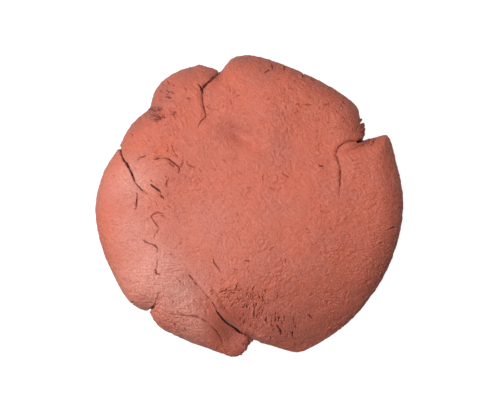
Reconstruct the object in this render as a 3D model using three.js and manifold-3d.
// A detailing clay bar, kneaded and pressed into a round patty.
//
// The patty is one lump of clay that has been folded over itself and flattened again, so it is a ring of
// folded leaves pressed edge to edge around a centre leaf. Each leaf is a solid of its own, bounded by the
// rim of the patty and by the seams where it meets its neighbours.
//
// Millimetres, +Z up. The origin is the middle of the flat underside, which rests on the table.

import * as THREE from "three";
import { mergeVertices } from "three/addons/utils/BufferGeometryUtils.js";
import Module from "manifold-3d";

// Driving dimensions.
const CROWN = 14.2; // height of the top over the middle
const SHOULDER_DROP = 3.4; // how much lower the top is where the rounded edge starts
const DROP_POWER = 2.6; // how late that drop comes on the way out
const SLUMP = 9.2; // how much further the top slopes down on the thinnest side
const SLUMP_POWER = 2.6; // how late that slope comes on the way out
const SLUMP_WAY = [0.34, -0.94]; // the direction of that side
const PATTY_RADIUS = 39.5; // mean radius of the outline
const EDGE_INSET = 6.5; // how far in the rounded edge reaches
const EDGE_POWER = 2.2; // 2 is an ellipse, more is boxier
const WAIST = 0.4; // where the edge bulges out most, as a share of the local height
const FOOT_INSET = 2.6; // how far in the flat underside starts
const SEAM_GAP = 0.36; // between two leaves
const RIM_STEP = 1.5; // length of a rim facet
const SEAM_STEP = 1.6; // length of a seam facet

// The outline, leaf by leaf and clockwise from the notch at the top. Each stretch starts where the last one
// ends, and a smooth curve runs through its points.
const RIM = {
  top_leaf: [
    [-7.6, 34.7], [-4.4, 38.6], [0, 39.3], [5.1, 38.2], [14.2, 34.6], [23.2, 29.8], [28.1, 25.6],
    [28.8, 21.5], [29.6, 17.6],
  ],
  right_flap: [
    [29.6, 17.3], [33.7, 18.2], [35.6, 18.9], [36.3, 18.1], [38.2, 11.5], [39.9, 3], [39.8, -3.2],
  ],
  centre_leaf: [
    [39.8, -3.2], [38.8, -8.3], [36, -16.2], [30.6, -25], [25.5, -30.6], [17, -36.4], [12.6, -38.2],
    [9.1, -37.4], [1.4, -35],
  ],
  rolled_fold: [[1.4, -35], [0.4, -35.2], [-1.2, -37.8], [-2.7, -39], [-4.3, -39.4], [-5.3, -39.1]],
  tongue_leaf: [[-5.3, -39.1], [-10.1, -37.3], [-15.8, -35.2], [-23.6, -31.2], [-25.3, -28.9], [-26.1, -27]],
  left_leaf: [
    [-26.1, -27], [-27.4, -27], [-31.2, -24.8], [-35.6, -17.3], [-38.9, -8.9], [-40, 0.2], [-37.8, 9.2],
    [-33.9, 15.4],
  ],
  shoulder_leaf: [[-33.9, 15.4], [-31.3, 20.5], [-29.3, 22.7], [-25.9, 25.5]],
  upper_left_leaf: [
    [-25.9, 25.5], [-24.3, 30.6], [-19.7, 34.7], [-13.8, 36.6], [-12.5, 37], [-11.3, 36.4], [-8.6, 35.6],
    [-7.6, 34.7],
  ],
};

// The seams between leaves, on the top of the patty. Those that reach the rim run past it.
const SEAMS = {
  top_notch: [
    [-5.6, 36.8], [-7.6, 34.7], [-10.9, 31.1], [-12.1, 29.8], [-12, 28], [-11.2, 23.3], [-12.2, 21.8],
    [-13.3, 20.2],
  ],
  valley: [[-13.3, 20.2], [-9.1, 19.4], [-3.6, 19.7], [4.4, 17.1], [10.7, 15.8], [17.2, 16], [24.2, 16.5]],
  right_notch: [
    [31.8, 18.2], [29.6, 17.4], [26.8, 17.1], [24.2, 16.5], [22.6, 14], [23.4, 6.6], [22.7, -0.1],
  ],
  flap_foot: [[22.7, -0.1], [24, -4.3], [27.9, -7], [33.6, -7.4], [39.8, -3.2], [42, -1.4]],
  shoulder_crumble: [[-28.2, 26.2], [-25.9, 25.5], [-21.9, 23.1], [-17.4, 21.4], [-13.3, 20.2]],
  shoulder_inner: [[-13.3, 20.2], [-15.6, 13], [-17.6, 8.6], [-19.4, 4.8], [-21.9, 2]],
  left_crack: [[-35.6, 17.6], [-33.9, 15.4], [-30.2, 9.8], [-29.2, 6.4], [-25.8, 3], [-21.9, 2]],
  left_chain: [
    [-21.9, 2], [-24.7, -2.1], [-23.5, -5.1], [-25.6, -8.8], [-23.7, -12.1], [-23.7, -17], [-22.2, -20.2],
    [-22.9, -23.1], [-26.1, -27], [-27.4, -29.4],
  ],
  tongue_top: [[-22.2, -20.2], [-20.6, -18.9], [-18, -18.1], [-15.4, -17.6]],
  tongue_seam: [[-15.4, -17.6], [-12, -22], [-7.6, -28.3], [-1.6, -33.5], [1.4, -35], [4, -36.4]],
  roll_crease: [[-15.4, -17.6], [-12.6, -23.4], [-11, -30.1], [-7.7, -33.7], [-5.3, -39.1], [-4.6, -41.4]],
};

// Swells and hollows on the top: where they are, how high and how wide.
const SWELLS = [
  [4, 27, 0.9, 9], // top leaf
  [-18, 29, 0.5, 6], // upper left leaf
  [-1, 19, -0.8, 5], // valley under the top leaf
  [-31, 0, 0.6, 9], // left leaf
  [-17, -27, -0.7, 7], // tongue leaf, which dives under its neighbours
  [-4, -33, -2.6, 5], // rolled fold, lowest beside the centre leaf
  [-4, -22, 0.5, 5], // lip of the centre leaf over the rolled fold
  [33, 6, 0.3, 6], // right flap
];

// A leaf's seed is a place well inside it, which tells the cut pieces apart.
const SEEDS = {
  top_leaf: [8, 28],
  upper_left_leaf: [-18, 29],
  shoulder_leaf: [-25, 14],
  left_leaf: [-32, -6],
  tongue_leaf: [-17, -29],
  rolled_fold: [-3.6, -33.8],
  centre_leaf: [4, -8],
  right_flap: [31, 6],
};

// How far the foot of a seam lies from its top edge. The centre leaf hangs over the tongue beside it, so the
// seams near there lean inwards.
const LEAN = { at: [-6, -28], reach: 9, shift: [2.4, 2] };

function lean(x, y) {
  const share = Math.exp(-((x - LEAN.at[0]) ** 2 + (y - LEAN.at[1]) ** 2) / LEAN.reach ** 2);
  return [LEAN.shift[0] * share, LEAN.shift[1] * share];
}

// Points at an even step on a smooth curve through a list of points.
function smooth(points, step) {
  const through = points.map(([x, y]) => new THREE.Vector3(x, y, 0));
  const curve = new THREE.CatmullRomCurve3(through, false, "centripetal");
  return curve.getSpacedPoints(Math.max(2, Math.round(curve.getLength() / step)));
}

function outline() {
  const points = Object.values(RIM).flatMap((stretch) => smooth(stretch, RIM_STEP));
  // A stretch that starts on the last one's end would repeat that point.
  return points.filter((p, i) => p.distanceTo(points.at(i - 1)) > 0.15);
}

// Height of the top at (x, y), before the edge rounds it off.
function topHeight(x, y) {
  const slump = Math.max(0, x * SLUMP_WAY[0] + y * SLUMP_WAY[1]) / PATTY_RADIUS;
  const shoulder = Math.min(1, Math.hypot(x, y) / PATTY_RADIUS);
  const dome = CROWN - SHOULDER_DROP * shoulder ** DROP_POWER - SLUMP * slump ** SLUMP_POWER;
  return SWELLS.reduce((height, [cx, cy, rise, reach]) => {
    return height + rise * Math.exp(-((x - cx) ** 2 + (y - cy) ** 2) / reach ** 2);
  }, dome);
}

// One ring of the patty's skin: the outline drawn in by inset, at the height that heightAt gives.
function ring(rim, inset, heightAt) {
  return rim.map((p) => {
    const share = 1 - inset / p.length();
    const [x, y] = [p.x * share, p.y * share];
    return new THREE.Vector3(x, y, heightAt(x, y));
  });
}

// How full the rounded edge is at an inset, from 0 on the outline to 1 where the flat starts.
function fullness(inset, reach) {
  return (1 - (1 - Math.min(1, inset / reach)) ** EDGE_POWER) ** (1 / EDGE_POWER);
}

function underside(rim) {
  const insets = [FOOT_INSET, FOOT_INSET * 0.45, FOOT_INSET * 0.12];
  return insets.map((inset) =>
    ring(rim, inset, (x, y) => topHeight(x, y) * WAIST * (1 - fullness(inset, FOOT_INSET))),
  );
}

function topside(rim) {
  const insets = [0, 0.2, 0.9, 2.3, 4.2, EDGE_INSET, 10, 14.5, 19.5, 24.5];
  return insets.map((inset) =>
    ring(rim, inset, (x, y) => topHeight(x, y) * (WAIST + (1 - WAIST) * fullness(inset, EDGE_INSET))),
  );
}

// The closed skin through a stack of rings, with a fan to a middle point at each end.
function skin(rings, bottomMiddle, topMiddle) {
  const count = rings[0].length;
  const corners = [...rings.flat(), bottomMiddle, topMiddle];
  const [bottom, top] = [corners.length - 2, corners.length - 1];
  const faces = [];
  for (let i = 0; i < count; i++) {
    const next = (i + 1) % count;
    // The outline runs clockwise seen from above.
    faces.push(bottom, i, next);
    faces.push(top, (rings.length - 1) * count + next, (rings.length - 1) * count + i);
    for (let k = 0; k < rings.length - 1; k++) {
      const [a, b, c, d] = [k * count + i, k * count + next, (k + 1) * count + next, (k + 1) * count + i];
      faces.push(a, d, c, a, c, b);
    }
  }
  return new THREE.BufferGeometry().setFromPoints(corners).setIndex(faces);
}

// A thin upright blade along a seam, leaning as the seam does.
function blade(points) {
  const path = smooth(points, SEAM_STEP);
  const side = path.map((p, i) => {
    const along = path[Math.min(i + 1, path.length - 1)].clone().sub(path[Math.max(i - 1, 0)]).normalize();
    return new THREE.Vector3(-along.y, along.x, 0).multiplyScalar(SEAM_GAP / 2);
  });
  // Both ends run on a little, so that blades which meet leave nothing standing between them.
  const overrun = SEAM_GAP * 0.8;
  const start = path[0].clone().sub(path[1]).setLength(overrun);
  const end = path.at(-1).clone().sub(path.at(-2)).setLength(overrun);
  path[0].add(start);
  path.at(-1).add(end);
  const edge = [
    ...path.map((p, i) => p.clone().add(side[i])),
    ...path.map((p, i) => p.clone().sub(side[i])).reverse(),
  ];
  const shape = new THREE.Shape(edge.map((p) => new THREE.Vector2(p.x, p.y)));
  const depth = CROWN * 1.5;
  const solid = new THREE.ExtrudeGeometry(shape, { depth, bevelEnabled: false, steps: 1 });
  const place = solid.getAttribute("position");
  for (let i = 0; i < place.count; i++) {
    const [x, y, z] = [place.getX(i), place.getY(i), place.getZ(i) - depth / 4];
    const below = 1 - z / CROWN;
    const [dx, dy] = lean(x, y);
    place.setXYZ(i, x + dx * below, y + dy * below, z);
  }
  return solid;
}

const wasm = await Module();
wasm.setup();

function toSolid(geometry) {
  const bare = new THREE.BufferGeometry()
    .setAttribute("position", geometry.getAttribute("position"))
    .setIndex(geometry.index);
  const merged = mergeVertices(bare, 1e-4);
  return new wasm.Manifold(
    new wasm.Mesh({
      numProp: 3,
      vertProperties: new Float32Array(merged.getAttribute("position").array),
      triVerts: new Uint32Array(merged.index.array),
    }),
  );
}

function toGeometry(solid) {
  const { vertProperties, triVerts, numProp } = solid.getMesh();
  const corners = [];
  for (let i = 0; i < vertProperties.length; i += numProp) {
    corners.push(new THREE.Vector3(vertProperties[i], vertProperties[i + 1], vertProperties[i + 2]));
  }
  const indexed = new THREE.BufferGeometry().setFromPoints(corners).setIndex([...triVerts]);
  indexed.computeVertexNormals();
  return indexed;
}

// The whole patty, then the leaves that the seams cut it into, largest first.
function leaves() {
  const rim = outline();
  const rings = [...underside(rim), ...topside(rim)];
  const patty = toSolid(skin(rings, new THREE.Vector3(0, 0, 0), new THREE.Vector3(0, 0, topHeight(0, 0))));
  const cut = Object.values(SEAMS).reduce((rest, seam) => rest.subtract(toSolid(blade(seam))), patty);
  return cut
    .decompose()
    .sort((a, b) => b.volume() - a.volume())
    .slice(0, Object.keys(SEEDS).length);
}

// The piece that holds a leaf's seed.
function holding([x, y], pieces) {
  const probe = toSolid(new THREE.BoxGeometry(1, 1, 1).translate(x, y, CROWN / 3));
  return pieces.find((piece) => piece.intersect(probe).volume() > 0.5);
}

const clay = new THREE.MeshStandardMaterial({ color: 0xc87058, roughness: 0.62, metalness: 0 });
const group = new THREE.Group();

function add(name, geometry) {
  const mesh = new THREE.Mesh(geometry, clay.clone());
  mesh.name = name;
  group.add(mesh);
}

const pieces = leaves();
for (const [name, seed] of Object.entries(SEEDS)) {
  add(name, toGeometry(holding(seed, pieces)));
}

export default group;
